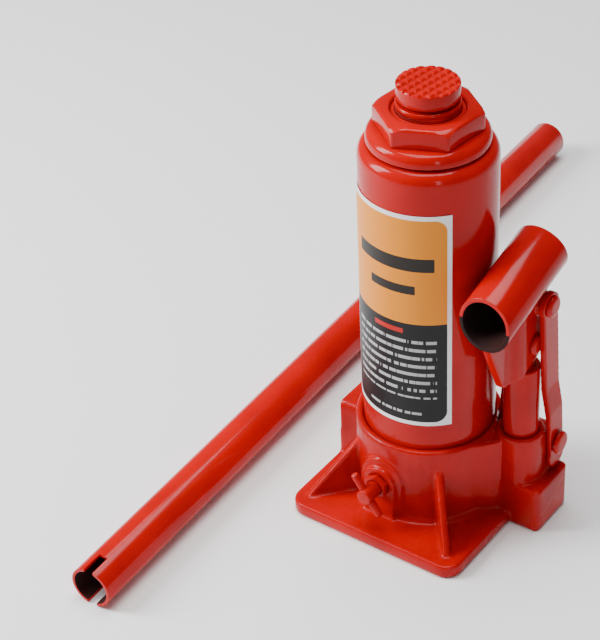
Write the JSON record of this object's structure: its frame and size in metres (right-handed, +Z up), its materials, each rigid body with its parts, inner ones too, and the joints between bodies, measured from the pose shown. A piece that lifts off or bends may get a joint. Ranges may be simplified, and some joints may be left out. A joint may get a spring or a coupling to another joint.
{
  "type": "hydraulic bottle jack",
  "caption": "Upright hydraulic bottle jack with an oil tank, a ram with an extension screw, a side pump with a tilting handle socket, a release valve and a loose tube handle.",
  "frame": {"origin": "on the ground, under the axis of the oil tank and ram", "axes": "+Z up along the ram, -Y to the operator (release valve and socket mouth), +X to the pump"},
  "size_m": [0.1854, 0.4705, 0.2334],
  "materials": {
    "casting_red": "gloss paint over a sand casting",
    "enamel_red": "gloss enamel",
    "bright_steel": "ground",
    "spring_steel": "satin",
    "soft_copper": "satin",
    "black_rubber": "matte",
    "label_print": "printed film"
  },
  "bodies": {
    "base": {"base_casting": "casting_red", "reservoir_tube": "enamel_red", "pressure_cylinder": "bright_steel", "cylinder_gasket": "soft_copper", "tank_gasket_lower": "black_rubber", "tank_gasket_upper": "black_rubber", "top_nut": "enamel_red", "ram_wiper_seal": "black_rubber", "rating_label": "label_print", "pump_sleeve": "enamel_red", "pump_sleeve_washer": "soft_copper", "base_pin": "enamel_red", "base_pin_clip": "spring_steel", "suction_ball": "bright_steel", "delivery_ball": "bright_steel", "delivery_spring": "spring_steel", "passage_plug": "bright_steel", "relief_ball": "bright_steel", "relief_spring": "spring_steel", "relief_screw": "bright_steel", "release_gland": "enamel_red"},
    "ram": {"ram": "bright_steel", "piston_cup": "black_rubber", "piston_retainer": "bright_steel"},
    "stop_ring": {"screw_stop_ring": "spring_steel"},
    "extension_screw": {"extension_screw": "enamel_red"},
    "plunger": {"pump_plunger": "bright_steel", "plunger_seal": "black_rubber"},
    "links": {"link_right": "enamel_red", "link_left": "enamel_red"},
    "handle_socket": {"socket_tube": "enamel_red", "socket_yoke": "enamel_red", "plunger_pin": "enamel_red", "plunger_pin_clip": "spring_steel", "yoke_pin": "enamel_red", "yoke_pin_clip": "spring_steel"},
    "valve_seal": {"release_oring": "black_rubber", "release_ball": "bright_steel"},
    "release_valve": {"release_spindle": "enamel_red", "release_cross_pin": "enamel_red"},
    "handle": {"handle_tube": "enamel_red"},
    "filler_plug": {"filler_plug": "black_rubber"}
  },
  "joints": [
    {"name": "ram_lift", "type": "slide", "parent": "base", "child": "ram", "axis": [0, 0, 1], "range_m": [0, 0.145]},
    {"name": "screw_rise", "type": "slide", "parent": "ram", "child": "stop_ring", "axis": [0, 0, 1], "range_m": [0, 0.07]},
    {"name": "screw_turn", "type": "hinge", "parent": "stop_ring", "child": "extension_screw", "pos_m": [0, 0, 0.2], "axis": [0, 0, 1], "range_deg": [0, 4190]},
    {"name": "socket_swing", "type": "hinge", "parent": "links", "child": "handle_socket", "pos_m": [0.047, 0.0125, 0.1265], "axis": [-1, 0, 0], "range_deg": [0, 39.9]},
    {"name": "link_swing", "type": "hinge", "parent": "base", "child": "links", "pos_m": [0.047, 0.0198, 0.0415], "axis": [-1, 0, 0], "range_deg": [0, 10.2]},
    {"name": "plunger_stroke", "type": "slide", "parent": "base", "child": "plunger", "axis": [0, 0, 1], "range_m": [0, 0.0094]},
    {"name": "valve_out", "type": "slide", "parent": "base", "child": "valve_seal", "axis": [0, -1, 0], "range_m": [0, 0.003]},
    {"name": "valve_turn", "type": "hinge", "parent": "valve_seal", "child": "release_valve", "pos_m": [-0.0042, -0.04, 0.0265], "axis": [0, -1, 0], "range_deg": [0, 719]},
    {"name": "handle_lift", "type": "slide", "parent": "base", "child": "handle", "axis": [0, 0, 1], "range_m": [0, 0.3]},
    {"name": "filler_pull", "type": "slide", "parent": "base", "child": "filler_plug", "axis": [0, 1, 0], "range_m": [0, 0.012]}
  ],
  "couplings": [
    {"joint": "screw_rise", "follows": "screw_turn", "m_per_rad": 0.00095493},
    {"joint": "link_swing", "follows": "socket_swing", "ratio": 0.255},
    {"joint": "plunger_stroke", "follows": "socket_swing", "m_per_rad": 0.013474},
    {"joint": "valve_out", "follows": "valve_turn", "m_per_rad": 0.00023873}
  ]
}
